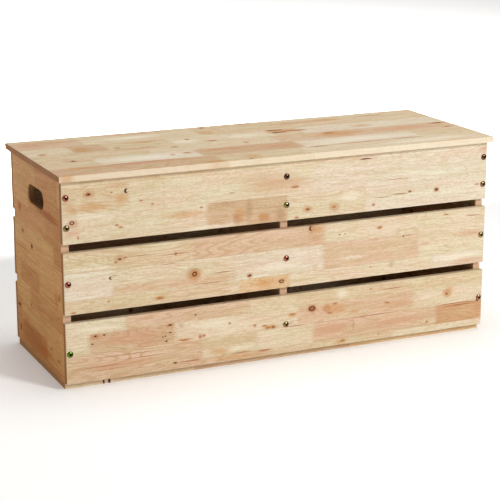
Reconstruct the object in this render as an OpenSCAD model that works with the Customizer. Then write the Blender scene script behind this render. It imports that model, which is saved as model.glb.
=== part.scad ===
// Slatted wooden toy box with a loose lid.
// X runs along the length, the front faces -Y, +Z is up, and the origin is on the floor under the middle.

/* [Box] */
// Length of the box without its lid
box_l = 900; // [600:1:1200]
// Depth of the box, from the front slats' faces to the back slats' faces
box_d = 320; // [280:1:420]
// Height of one slat
slat_h = 118; // [100:1:140]
// Gap between one slat and the next
slat_gap = 16; // [8:1:30]
// Thickness of the slats, the bottom board and the lid
board_t = 12; // [12:0.5:16]
// Thickness of the end panels and the partition
panel_t = 16; // [16:0.5:22]
// Radius of the eased long edges of every board
ease_r = 1.2; // [0.4:0.1:2]

/* [Lid] */
// How far the lid stands out past each end
lid_over_end = 7; // [0:1:20]
// How far the lid stands out past the front and past the back
lid_over_side = 12; // [0:1:25]
// Width of a cleat under the lid
cleat_w = 30; // [20:1:50]
// Thickness of a cleat
cleat_t = 15; // [12:0.5:20]
// Room between a cleat and the walls round it
cleat_room = 3; // [1:0.5:6]

/* [Hand holes] */
// Length of a hand hole, over its round ends
grip_l = 98; // [80:1:120]
// Height of a hand hole
grip_h = 35; // [28:1:40]
// Distance from a panel's top edge down to the middle of its hand hole
grip_drop = 61; // [50:1:80]

/* [Bolts] */
// Length of a bolt under its head
bolt_l = 50; // [46:1:60]
// Diameter of a bolt's domed head
head_d = 12; // [10:0.5:14]
// Height of a bolt's head
head_h = 3.2; // [2.6:0.1:4]
// Width across the flats of the hexagon socket
socket_w = 4; // [3:0.5:5]
// Height between the two bolts at each end of a top slat
bolt_spread = 56; // [40:1:70]

/* [Hidden] */
$fn = 48;

FRONT = -1;
BACK = 1;
ROWS = [0, 1, 2];

// Box
inner_d = box_d - 2 * board_t;
box_h = board_t + 3 * slat_h + 2 * slat_gap;
panel_h = box_h - board_t;
left_x = -(box_l - panel_t) / 2;
right_x = (box_l - panel_t) / 2;
columns = [left_x, 0, right_x];
past = 1;

// Bolts and their barrel nuts
bolt_d = 5.9;
bolt_room_d = 6.8;
bolt_end_room = 4;
bolt_tip = 0.8;
head_rim = 0.8;
socket_deep = 2.2;
nut_d = 10;
nut_l = 12;
nut_thread_d = 6;
nut_room = 0.1;
nut_depth = 40;
nut_slot = 1.2;
nut_slot_l = 7;

// Base screws and dowels
screw_d = 4;
screw_l = 45;
screw_head_d = 8;
screw_sink = 0.5;
screw_ys = [-100, 0, 100];
dowel_d = 8;
dowel_l = 30;
dowel_low = 4;
dowel_end_room = 1;
dowel_ys = [-50, 50];
fit_room = 0.05;

// Lid
lid_l = box_l + 2 * lid_over_end;
lid_d = box_d + 2 * lid_over_side;
cleat_l = inner_d - 2 * cleat_room;
cleat_x = box_l / 2 - panel_t - cleat_room - cleat_w / 2;
cleat_screw_d = 3.5;
cleat_screw_l = 22;
cleat_screw_head_d = 7;
cleat_screw_ys = [-120, -40, 40, 120];

slat_wood = "#E0C8A4";
panel_wood = "#C7A57C";
lid_wood = "#D8C2A0";
bottom_wood = "#C9A87F";
dowel_wood = "#E3CFA8";
gold_zinc = "#A88A4A";
plain_zinc = "#B9BCC0";

// Height of the middle of a slat, counted from the bottom row
function slat_z(row) = board_t + row * (slat_h + slat_gap) + slat_h / 2;

// Heights of the bolts at one column of a slat: two in the top row, one in the others
function bolt_zs(row) = row == 2
    ? [slat_z(row) - bolt_spread / 2, slat_z(row) + bolt_spread / 2]
    : [slat_z(row)];

// Rectangle with its four corners rounded by ease_r
module eased_rectangle(a, b) {
    square([a - 2 * ease_r, b], center = true);
    square([a, b - 2 * ease_r], center = true);
    for (i = [-1, 1], j = [-1, 1])
        translate([i * (a / 2 - ease_r), j * (b / 2 - ease_r)])
            circle(r = ease_r);
}

// Board whose long way is X, with its four long edges eased
module board_along_x(l, d, h) {
    rotate([90, 0, 90])
        linear_extrude(height = l, center = true)
            eased_rectangle(d, h);
}

// Board whose long way is Y, with its four long edges eased
module board_along_y(w, l, h) {
    rotate([90, 0, 0])
        linear_extrude(height = l, center = true)
            eased_rectangle(w, h);
}

// Places a piece at a bolt: its own +Z points out of the box
module at_bolt(side, x, z) {
    translate([x, side * box_d / 2, z])
        rotate([-90 * side, 0, 0])
            children();
}

// Bolt with a domed head and a hexagon socket, its head standing on z = 0
module bolt() {
    cap_h = head_h - head_rim;
    cap_r = (head_d * head_d / 4 + cap_h * cap_h) / (2 * cap_h);
    difference() {
        intersection() {
            cylinder(d = head_d, h = head_h + past);
            translate([0, 0, head_h - cap_r])
                sphere(r = cap_r, $fn = 96);
        }
        translate([0, 0, head_h - socket_deep])
            cylinder(d = socket_w / cos(30), h = socket_deep + past, $fn = 6);
    }
    translate([0, 0, -bolt_l + bolt_tip])
        cylinder(d = bolt_d, h = bolt_l - bolt_tip);
    translate([0, 0, -bolt_l])
        cylinder(d1 = bolt_d - 2 * bolt_tip, d2 = bolt_d, h = bolt_tip);
}

// All the bolts of one slat
module slat_bolts(side, row) {
    color(gold_zinc)
        for (x = columns, z = bolt_zs(row))
            at_bolt(side, x, z)
                bolt();
}

// One slat with its bolt holes
module slat(side, row) {
    color(slat_wood)
        difference() {
            translate([0, side * (box_d - board_t) / 2, slat_z(row)])
                board_along_x(box_l, board_t, slat_h);
            for (x = columns, z = bolt_zs(row))
                at_bolt(side, x, z)
                    translate([0, 0, -board_t - past])
                        cylinder(d = bolt_room_d, h = board_t + 2 * past);
        }
}

// Countersunk screw with a cross recess, its flat head at z = 0 and its point down
module screw(d, l, head) {
    head_deep = (head - d) / 2;
    recess_w = 0.9;
    recess_deep = 1.4;
    difference() {
        union() {
            translate([0, 0, -head_deep])
                cylinder(d1 = d, d2 = head, h = head_deep);
            translate([0, 0, -l + d])
                cylinder(d = d, h = l - d - head_deep);
            translate([0, 0, -l])
                cylinder(d1 = d / 8, d2 = d, h = d);
        }
        for (turn = [0, 90])
            rotate([0, 0, turn])
                translate([-head / 4, -recess_w / 2, -recess_deep])
                    cube([head / 2, recess_w, recess_deep + past]);
    }
}

// Room for a screw in the board under its head
module screw_room(d, l, head) {
    room = 0.2;
    head_deep = (head - d) / 2;
    translate([0, 0, -l])
        cylinder(d = d + 2 * room, h = l);
    translate([0, 0, -head_deep])
        cylinder(d1 = d + 2 * room, d2 = head + 2 * room, h = head_deep);
    cylinder(d = head + 2 * room, h = screw_sink + past);
}

// Places a base screw, which points up from under the bottom board
module at_base_screw(x, y) {
    translate([x, y, screw_sink])
        rotate([180, 0, 0])
            children();
}

// Places a cleat screw, which points up from under a cleat
module at_cleat_screw(x, y) {
    translate([x, y, box_h - cleat_t + screw_sink])
        rotate([180, 0, 0])
            children();
}

module bottom_board() {
    color(bottom_wood)
        difference() {
            translate([0, 0, board_t / 2])
                board_along_x(box_l, inner_d, board_t);
            for (x = columns, y = screw_ys)
                at_base_screw(x, y)
                    screw_room(screw_d, board_t + past, screw_head_d);
            for (x = columns, y = dowel_ys)
                translate([x, y, dowel_low - dowel_end_room])
                    cylinder(d = dowel_d + 2 * fit_room, h = board_t);
        }
}

// Everything drilled into an upright panel: open is the side that the barrel nuts go in from
module panel_drilling(x, open) {
    bolt_hole_l = bolt_l + bolt_end_room;
    nut_hole_l = nut_l / 2 + nut_room;
    for (side = [FRONT, BACK], row = ROWS, z = bolt_zs(row)) {
        at_bolt(side, x, z)
            translate([0, 0, -bolt_hole_l])
                cylinder(d = bolt_room_d, h = bolt_hole_l);
        translate([x - open * nut_hole_l, side * (box_d / 2 - nut_depth), z])
            rotate([0, 90 * open, 0])
                cylinder(d = nut_d + 2 * nut_room, h = nut_hole_l + panel_t / 2 + past);
    }
    for (y = screw_ys)
        translate([x, y, board_t - past])
            cylinder(d = screw_d + 2 * fit_room, h = screw_l - board_t + 2 * past);
    for (y = dowel_ys)
        translate([x, y, board_t - past])
            cylinder(d = dowel_d + 2 * fit_room, h = dowel_low + dowel_l + dowel_end_room - board_t + past);
}

// Upright panel that stands on the bottom board, its grain running front to back
module panel(x, open) {
    difference() {
        translate([x, 0, board_t + panel_h / 2])
            board_along_y(panel_t, inner_d, panel_h);
        panel_drilling(x, open);
    }
}

// Oblong hole with round ends, right through an end panel
module grip(x) {
    run = grip_l - grip_h;
    translate([x, 0, box_h - grip_drop])
        rotate([0, 90, 0]) {
            for (y = [-run / 2, run / 2])
                translate([0, y, 0])
                    cylinder(d = grip_h, h = panel_t + 2 * past, center = true);
            cube([grip_h, run, panel_t + 2 * past], center = true);
        }
}

module left_end_panel() {
    color(panel_wood)
        difference() {
            panel(left_x, 1);
            grip(left_x);
        }
}

module right_end_panel() {
    color(panel_wood)
        difference() {
            panel(right_x, -1);
            grip(right_x);
        }
}

module centre_partition() {
    color(panel_wood)
        panel(0, 1);
}

module front_bottom_slat() {
    slat(FRONT, 0);
}

module front_middle_slat() {
    slat(FRONT, 1);
}

module front_top_slat() {
    slat(FRONT, 2);
}

module back_bottom_slat() {
    slat(BACK, 0);
}

module back_middle_slat() {
    slat(BACK, 1);
}

module back_top_slat() {
    slat(BACK, 2);
}

module front_bottom_bolts() {
    slat_bolts(FRONT, 0);
}

module front_middle_bolts() {
    slat_bolts(FRONT, 1);
}

module front_top_bolts() {
    slat_bolts(FRONT, 2);
}

module back_bottom_bolts() {
    slat_bolts(BACK, 0);
}

module back_middle_bolts() {
    slat_bolts(BACK, 1);
}

module back_top_bolts() {
    slat_bolts(BACK, 2);
}

// Barrel nuts of one panel, each with a cross thread and a slot on the face that shows
module barrel_nuts(x, open) {
    color(plain_zinc)
        for (side = [FRONT, BACK], row = ROWS, z = bolt_zs(row))
            translate([x, side * (box_d / 2 - nut_depth), z])
                difference() {
                    rotate([0, 90, 0])
                        cylinder(d = nut_d, h = nut_l, center = true);
                    rotate([90, 0, 0])
                        cylinder(d = nut_thread_d, h = nut_d + 2 * past, center = true);
                    translate([open * nut_l / 2, 0, 0])
                        cube([2 * nut_slot, nut_slot_l, nut_slot], center = true);
                }
}

module left_barrel_nuts() {
    barrel_nuts(left_x, 1);
}

module centre_barrel_nuts() {
    barrel_nuts(0, 1);
}

module right_barrel_nuts() {
    barrel_nuts(right_x, -1);
}

// Base screws of one panel
module base_screws(x) {
    color(plain_zinc)
        for (y = screw_ys)
            at_base_screw(x, y)
                screw(screw_d, screw_l, screw_head_d);
}

module left_base_screws() {
    base_screws(left_x);
}

module centre_base_screws() {
    base_screws(0);
}

module right_base_screws() {
    base_screws(right_x);
}

// Base dowels of one panel, with chamfered ends
module base_dowels(x) {
    chamfer = 1;
    color(dowel_wood)
        for (y = dowel_ys)
            translate([x, y, dowel_low]) {
                cylinder(d1 = dowel_d - 2 * chamfer, d2 = dowel_d, h = chamfer);
                translate([0, 0, chamfer])
                    cylinder(d = dowel_d, h = dowel_l - 2 * chamfer);
                translate([0, 0, dowel_l - chamfer])
                    cylinder(d1 = dowel_d, d2 = dowel_d - 2 * chamfer, h = chamfer);
            }
}

module left_base_dowels() {
    base_dowels(left_x);
}

module centre_base_dowels() {
    base_dowels(0);
}

module right_base_dowels() {
    base_dowels(right_x);
}

module lid_board() {
    color(lid_wood)
        difference() {
            translate([0, 0, box_h + board_t / 2])
                board_along_x(lid_l, lid_d, board_t);
            for (x = [-cleat_x, cleat_x], y = cleat_screw_ys)
                translate([x, y, box_h - past])
                    cylinder(d = cleat_screw_d + 2 * fit_room, h = cleat_screw_l - cleat_t + 2 * past);
        }
}

// Cleat under the lid, drilled for its screws
module lid_cleat(x) {
    color(panel_wood)
        difference() {
            translate([x, 0, box_h - cleat_t / 2])
                board_along_y(cleat_w, cleat_l, cleat_t);
            for (y = cleat_screw_ys)
                at_cleat_screw(x, y)
                    screw_room(cleat_screw_d, cleat_t + past, cleat_screw_head_d);
        }
}

// Screws of one cleat
module cleat_screws(x) {
    color(plain_zinc)
        for (y = cleat_screw_ys)
            at_cleat_screw(x, y)
                screw(cleat_screw_d, cleat_screw_l, cleat_screw_head_d);
}

module left_lid_cleat() {
    lid_cleat(-cleat_x);
}

module right_lid_cleat() {
    lid_cleat(cleat_x);
}

module left_cleat_screws() {
    cleat_screws(-cleat_x);
}

module right_cleat_screws() {
    cleat_screws(cleat_x);
}

bottom_board();
left_end_panel();
right_end_panel();
centre_partition();
front_bottom_slat();
front_middle_slat();
front_top_slat();
back_bottom_slat();
back_middle_slat();
back_top_slat();
front_bottom_bolts();
front_middle_bolts();
front_top_bolts();
back_bottom_bolts();
back_middle_bolts();
back_top_bolts();
left_barrel_nuts();
centre_barrel_nuts();
right_barrel_nuts();
left_base_screws();
centre_base_screws();
right_base_screws();
left_base_dowels();
centre_base_dowels();
right_base_dowels();
lid_board();
left_lid_cleat();
right_lid_cleat();
left_cleat_screws();
right_cleat_screws();
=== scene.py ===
import math
import bmesh
import bpy
import numpy as np
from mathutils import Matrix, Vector


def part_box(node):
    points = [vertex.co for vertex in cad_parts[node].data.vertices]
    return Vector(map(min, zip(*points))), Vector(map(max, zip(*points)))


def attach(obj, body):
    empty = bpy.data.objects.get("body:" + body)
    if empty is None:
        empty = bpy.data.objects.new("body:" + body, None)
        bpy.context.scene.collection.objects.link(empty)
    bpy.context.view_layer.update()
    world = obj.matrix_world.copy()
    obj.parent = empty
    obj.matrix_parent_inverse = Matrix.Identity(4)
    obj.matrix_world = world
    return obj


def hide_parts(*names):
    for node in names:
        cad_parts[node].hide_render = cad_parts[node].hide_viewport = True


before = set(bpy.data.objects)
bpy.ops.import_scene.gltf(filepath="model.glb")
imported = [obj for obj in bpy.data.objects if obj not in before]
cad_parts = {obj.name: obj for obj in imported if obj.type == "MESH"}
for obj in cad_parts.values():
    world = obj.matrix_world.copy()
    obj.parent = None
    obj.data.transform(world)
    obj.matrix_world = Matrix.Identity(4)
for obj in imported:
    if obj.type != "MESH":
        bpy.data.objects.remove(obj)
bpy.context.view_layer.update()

scene = bpy.context.scene
print("frame loaded:", len(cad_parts), "nodes")

mm = 0.001
axisOf = {"X": 0, "Y": 1, "Z": 2}

cameraSet = dict(lens=114.0, azimuth=-24.5, elevation=15.1, distance=3.205,
                 target=(-0.006, -0.004, 0.184))


def makeCamera(s):
    turn, rise = math.radians(s["azimuth"]), math.radians(s["elevation"])
    flat = math.cos(rise)
    back = Vector((math.sin(turn) * flat, -math.cos(turn) * flat, math.sin(rise)))
    data = bpy.data.cameras.new("camera")
    data.lens = s["lens"]
    data.sensor_width = 36.0
    camera = bpy.data.objects.new("camera", data)
    camera.location = Vector(s["target"]) + back * s["distance"]
    camera.rotation_mode = "QUATERNION"
    camera.rotation_quaternion = (-back).to_track_quat("-Z", "Y")
    scene.collection.objects.link(camera)
    scene.camera = camera


makeCamera(cameraSet)
scene.view_settings.view_transform = "Standard"


def linear(hexText, alpha=1.0):
    # an sRGB hex colour as the linear values that shaders take
    s = np.array([int(hexText[i:i + 2], 16) for i in (1, 3, 5)]) / 255.0
    return (*np.where(s <= 0.04045, s / 12.92, ((s + 0.055) / 1.055) ** 2.4), alpha)


def newMaterial(name):
    material = bpy.data.materials.new(name)
    material.use_nodes = True
    material.node_tree.nodes.clear()
    return material


def add(tree, kind, links, **settings):
    # adds a node: each entry of links is a socket to join or a value to set
    node = tree.nodes.new(kind)
    for key, value in settings.items():
        setattr(node, key, value)
    for key, source in links.items():
        if isinstance(source, bpy.types.NodeSocket):
            tree.links.new(source, node.inputs[key])
        else:
            node.inputs[key].default_value = source
    return node


floorSet = dict(size=40.0, colour="#F4F3F1", roughness=0.9, specular=0.02, glow=0.2)


def makeFloor(s):
    # a sheet of white paper far wider than the box
    half = s["size"] / 2
    corners = [(-half, -half, 0), (half, -half, 0), (half, half, 0), (-half, half, 0)]
    mesh = bpy.data.meshes.new("floor")
    mesh.from_pydata(corners, [], [(0, 1, 2, 3)])
    floor = bpy.data.objects.new("floor", mesh)
    scene.collection.objects.link(floor)
    material = newMaterial("whitePaper")
    tree = material.node_tree
    paper = add(tree, "ShaderNodeBsdfPrincipled", {
        "Base Color": linear(s["colour"]), "Roughness": s["roughness"], "Specular IOR Level": s["specular"],
        "Emission Color": linear(s["colour"]), "Emission Strength": s["glow"]})
    add(tree, "ShaderNodeOutputMaterial", {"Surface": paper.outputs[0]})
    mesh.materials.append(material)


makeFloor(floorSet)

# The sweep light shines on the floor behind the box and not on the box
lightSet = dict(
    key=dict(place=(2.3, -4.2, 2.9), aim=(0.0, 0.0, 0.2), size=1.2, power=171.0),
    top=dict(place=(0.3, 0.3, 3.4), aim=(0.0, 0.0, 0.2), size=2.4, power=50.0),
    sweep=dict(place=(0.0, 1.8, 2.2), aim=(0.0, 6.5, 0.0), size=3.0, power=420.0))
skySet = dict(colour="#FFFFFF", strength=0.3)


def makeLight(name, s):
    data = bpy.data.lights.new(name, "AREA")
    data.shape = "DISK"
    data.size = s["size"]
    data.energy = s["power"]
    lamp = bpy.data.objects.new(name, data)
    lamp.location = s["place"]
    aim = Vector(s["aim"]) - Vector(s["place"])
    lamp.rotation_mode = "QUATERNION"
    lamp.rotation_quaternion = aim.to_track_quat("-Z", "Y")
    lamp.visible_camera = False
    scene.collection.objects.link(lamp)


for name, s in lightSet.items():
    makeLight(name + "Light", s)


def makeSky(s):
    # even soft light from all round
    world = bpy.data.worlds.new("sky")
    world.use_nodes = True
    tree = world.node_tree
    tree.nodes.clear()
    glow = add(tree, "ShaderNodeBackground", {"Color": linear(s["colour"]), "Strength": s["strength"]})
    add(tree, "ShaderNodeOutputWorld", {"Surface": glow.outputs[0]})
    scene.world = world


makeSky(skySet)
print("camera, floor and light made")

# Rubberwood, planed and given a matt clear varnish: cream to rosy tan staves, short even pores, soft
# growth lines, and hardly any gloss even at a glancing angle
tints = {
    "pale": "#E2D9C8", "cream": "#E0D4BD", "sand": "#DBCCB1", "tan": "#D2B99D",
    "rose": "#D9C2A9", "orange": "#DEC4A1", "russet": "#D0AC8A"}

# Lengths and widths in mm. Pores are really 0.3 mm wide and glue lines 0.2 mm, drawn coarser so that
# they show. A gain is how strongly that part of the grain deepens the colour
woodSet = dict(
    fingerPitch=4.4, fingerDepth=9.0, glueLine=0.9, glueColour="#8A5A34", glueStrength=0.15,
    bandLength=170.0, bandWidth=11.0, bandGain=0.36,
    streakLength=42.0, streakWidth=2.4, streakGain=0.46,
    poreLength=11.0, poreWidth=1.5, poreGain=0.34, poreLevels=(0.54, 0.66),
    fleckLength=5.0, fleckWidth=2.0, fleckGain=0.34,
    hueLength=110.0, hueWidth=26.0,
    ringLength=240.0, ringWidth=30.0, ringCount=15.0, ringLine=0.2, ringGain=1.15,
    plainFigure=0.3,                                  # growth lines of a stave that states none
    jump=(2000.0, 700.0, 300.0), lean=0.05,           # how each stave's pattern is moved and leant
    wobble=0.13, knotPull=0.2, knotReach=(0.4, 4.5),  # how marks wander, and how lines close round knots
    shallow=(1.10, 1.12, 1.15, 1.0), deep=(0.83, 0.72, 0.60, 1.0),
    cool=(0.985, 1.01, 0.96, 1.0), warm=(1.02, 0.975, 0.97, 1.0),
    rimStrength=0.6, endDots=0.7, endLight=1.2, endDark=0.75,
    roughness=0.52, smoother=0.05, rougher=0.09, specular=0.02, relief=0.12 * mm)
rowGap = 40.0  # added to the length of a row, so that no stave's joint reaches the next row's numbers

# How each kind of mark colours the wood. Reach is where it starts and where it is full, in its own
# radii; warp is how far the mark's outline wanders, in mm
markKinds = {
    "pales": dict(colour="#EFE5CF", reach=(1.35, 0.2), strength=0.5, warp=8.0),
    "blushes": dict(colour="#C58C66", reach=(1.35, 0.2), strength=0.42, warp=8.0),
    "stains": dict(colour="#C58A4C", reach=(1.35, 0.2), strength=0.5, warp=9.0),
    "shades": dict(colour="#9A6C42", reach=(1.35, 0.2), strength=0.36, warp=9.0),
    "streaks": dict(colour="#A05428", reach=(1.2, 0.35), strength=0.7, warp=1.6),
    "specks": dict(colour="#AA662C", reach=(1.4, 0.3), strength=0.8, warp=2.6),
    "halos": dict(colour="#B87C4A", reach=(2.0, 0.9), strength=0.42, warp=3.0),
    "knots": dict(colour="#92502A", reach=(1.25, 0.55), strength=0.88, warp=2.2),
    "eyes": dict(colour="#6E3216", reach=(0.55, 0.15), strength=0.92, warp=1.6, ring=0.85),
    "hooks": dict(colour="#4A2414", reach=(1.15, 0.8), strength=0.95, warp=1.6, bite=0.7, biteSize=1.8),
    "hearts": dict(colour="#4C1E0A", reach=(1.1, 0.5), strength=0.95, warp=1.4)}


def fillRamp(ramp, stops):
    # all the positions are set before the colours, because a position puts the stops in order
    while len(ramp.elements) < len(stops):
        ramp.elements.new(1.0)
    for n, (spot, _) in enumerate(stops):
        ramp.elements[n].position = spot
    for n, (_, colour) in enumerate(stops):
        ramp.elements[n].color = colour


def nearestMark(tree, board, sway, kind, spots):
    # least distance to any mark of the kind, in that mark's own radii; a hook is a disc less a second
    # disc beside it, and a ring is measured from its circle
    push = add(tree, "ShaderNodeVectorMath", {0: sway, 1: (kind["warp"],) * 3, 2: board},
               operation="MULTIPLY_ADD")
    flat = add(tree, "ShaderNodeVectorMath", {0: push.outputs[0], 1: (1.0, 1.0, 0.0)},
               operation="MULTIPLY").outputs[0]

    def distance(spot, shift):
        x, y, rx, ry = spot
        offset = add(tree, "ShaderNodeVectorMath", {
            0: flat, 1: (1 / rx, 1 / ry, 0.0), 2: (-x / rx - shift, -y / ry, 0.0)},
            operation="MULTIPLY_ADD")
        length = add(tree, "ShaderNodeVectorMath", {0: offset.outputs[0]}, operation="LENGTH")
        return length.outputs["Value"]

    nearest = None
    for spot in spots:
        far = distance(spot, 0.0)
        if "bite" in kind:
            rest = add(tree, "ShaderNodeMath", {0: kind["biteSize"], 1: distance(spot, kind["bite"])},
                       operation="SUBTRACT")
            far = add(tree, "ShaderNodeMath", {0: far, 1: rest.outputs[0]}, operation="MAXIMUM").outputs[0]
        if nearest is not None:
            far = add(tree, "ShaderNodeMath", {0: nearest, 1: far}, operation="MINIMUM").outputs[0]
        nearest = far
    if "ring" in kind:
        apart = add(tree, "ShaderNodeMath", {0: nearest, 1: kind["ring"]}, operation="SUBTRACT")
        nearest = add(tree, "ShaderNodeMath", {0: apart.outputs[0]}, operation="ABSOLUTE").outputs[0]
    return nearest


def staveNumber(tree, key, edges):
    # how many of the joints lie below the key: 0 in the first stave
    number = 0.0
    for edge in edges:
        above = add(tree, "ShaderNodeMath", {0: key, 1: edge}, operation="GREATER_THAN")
        number = add(tree, "ShaderNodeMath", {0: above.outputs[0], 1: number}, operation="ADD").outputs[0]
    return number


def layStaves(tree, a, b, layout, span):
    # which stave lies at each place along and across the board, its tint and figure, and the glue lines
    w = woodSet
    staves = [(r * span + start, *look) for r, row in enumerate(layout["staves"]) for start, *look in row]
    edges = [stave[0] for stave in staves[1:]]

    # the fingers of a joint make the place along the board swing with the place across it
    row = staveNumber(tree, b, layout["rows"][1:])
    tooth = add(tree, "ShaderNodeMath", {0: b, 1: w["fingerPitch"] / 2}, operation="PINGPONG")
    swing = add(tree, "ShaderNodeMath", {
        0: tooth.outputs[0], 1: 2 * w["fingerDepth"] / w["fingerPitch"], 2: a}, operation="MULTIPLY_ADD")
    centred = add(tree, "ShaderNodeMath", {0: swing.outputs[0], 1: w["fingerDepth"] / 2},
                  operation="SUBTRACT")
    key = add(tree, "ShaderNodeMath", {0: row, 1: span, 2: centred.outputs[0]}, operation="MULTIPLY_ADD")
    stave = staveNumber(tree, key.outputs[0], edges)

    # a ramp with one step for each stave holds its tint, and its figure as the alpha
    count = len(staves)
    share = add(tree, "ShaderNodeMath", {0: stave, 1: 1 / count, 2: 0.5 / count}, operation="MULTIPLY_ADD")
    choice = add(tree, "ShaderNodeValToRGB", {0: share.outputs[0]})
    choice.color_ramp.interpolation = "CONSTANT"
    fillRamp(choice.color_ramp, [
        (n / count, linear(tints[tint], figure[0] if figure else w["plainFigure"]))
        for n, (_, tint, *figure) in enumerate(staves)])

    # glue lines between two staves end to end, and between two rows
    ahead = add(tree, "ShaderNodeMath", {0: key.outputs[0], 1: w["glueLine"]}, operation="ADD")
    same = add(tree, "ShaderNodeMath", {
        0: stave, 1: staveNumber(tree, ahead.outputs[0], edges), 2: 0.5}, operation="COMPARE")
    glue = add(tree, "ShaderNodeMath", {0: 1.0, 1: same.outputs[0]}, operation="SUBTRACT").outputs[0]
    for edge in layout["rows"][1:]:
        seam = add(tree, "ShaderNodeMath", {0: b, 1: edge, 2: w["glueLine"] / 2}, operation="COMPARE")
        glue = add(tree, "ShaderNodeMath", {0: glue, 1: seam.outputs[0]}, operation="MAXIMUM").outputs[0]
    return stave, choice.outputs["Color"], choice.outputs["Alpha"], glue


def grainNoise(tree, board, a, stave):
    # each stave's pattern is moved and leant by numbers of its own, then noise is stretched along the
    # grain, once for each size of thing in the wood
    w = woodSet
    luck = add(tree, "ShaderNodeTexWhiteNoise", {"W": stave}, noise_dimensions="1D").outputs["Color"]
    moved = add(tree, "ShaderNodeVectorMath", {0: luck, 1: w["jump"], 2: board}, operation="MULTIPLY_ADD")
    parts = add(tree, "ShaderNodeSeparateXYZ", {0: luck})
    slope = add(tree, "ShaderNodeMapRange", {
        "Value": parts.outputs[1], "To Min": -w["lean"], "To Max": w["lean"]})
    fall = add(tree, "ShaderNodeMath", {0: a, 1: slope.outputs[0]}, operation="MULTIPLY")
    drop = add(tree, "ShaderNodeCombineXYZ", {1: fall.outputs[0]})
    grain = add(tree, "ShaderNodeVectorMath", {0: moved.outputs[0], 1: drop.outputs[0]},
                operation="ADD").outputs[0]
    fields = {}
    for kind in ("band", "streak", "pore", "fleck", "hue", "ring"):
        detail = 2.0 if kind in ("band", "streak") else 1.0
        long, wide = w[kind + "Length"], w[kind + "Width"]
        spread = add(tree, "ShaderNodeVectorMath", {0: grain, 1: (1 / long, 1 / wide, 1 / wide)},
                     operation="MULTIPLY")
        noise = add(tree, "ShaderNodeTexNoise", {
            "Vector": spread.outputs[0], "Scale": 1.0, "Detail": detail, "Roughness": 0.5})
        fields[kind] = noise.outputs[0]
    return grain, fields


def growthLines(tree, ringField, figure, reached):
    # contour lines of the ring noise, which close round the knots, as strong as the stave's figure
    w = woodSet
    height = ringField
    for kind in ("knots", "eyes", "hooks"):
        if kind not in reached:
            continue
        pull = add(tree, "ShaderNodeMapRange", {
            "Value": reached[kind], "From Min": w["knotReach"][0], "From Max": w["knotReach"][1],
            "To Min": w["knotPull"], "To Max": 0.0}, interpolation_type="SMOOTHSTEP")
        height = add(tree, "ShaderNodeMath", {0: height, 1: pull.outputs[0]}, operation="ADD").outputs[0]
    count = add(tree, "ShaderNodeMath", {0: height, 1: w["ringCount"]}, operation="MULTIPLY")
    wave = add(tree, "ShaderNodeMath", {0: count.outputs[0], 1: 0.5}, operation="PINGPONG")
    line = add(tree, "ShaderNodeMapRange", {
        "Value": wave.outputs[0], "From Min": w["ringLine"], "From Max": 0.0, "To Min": 0.0,
        "To Max": 1.0}, interpolation_type="SMOOTHSTEP")
    return add(tree, "ShaderNodeMath", {0: line.outputs[0], 1: figure}, operation="MULTIPLY").outputs[0]


def mixed(tree, amount, under, over, blend="MIX"):
    # the colour under with the colour over laid on it
    mix = add(tree, "ShaderNodeMix", {0: amount, 6: under, 7: over}, data_type="RGBA", blend_type=blend)
    return mix.outputs[2]


def facingAlong(tree, facing, axis, full=1.0):
    # 0 on faces that look away from the axis, rising to full on faces that look along it
    square = add(tree, "ShaderNodeMath", {0: facing.outputs[axis], 1: facing.outputs[axis]},
                 operation="MULTIPLY")
    return add(tree, "ShaderNodeMapRange", {
        "Value": square.outputs[0], "From Min": 0.4, "From Max": 0.7, "To Max": full}).outputs[0]


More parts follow.
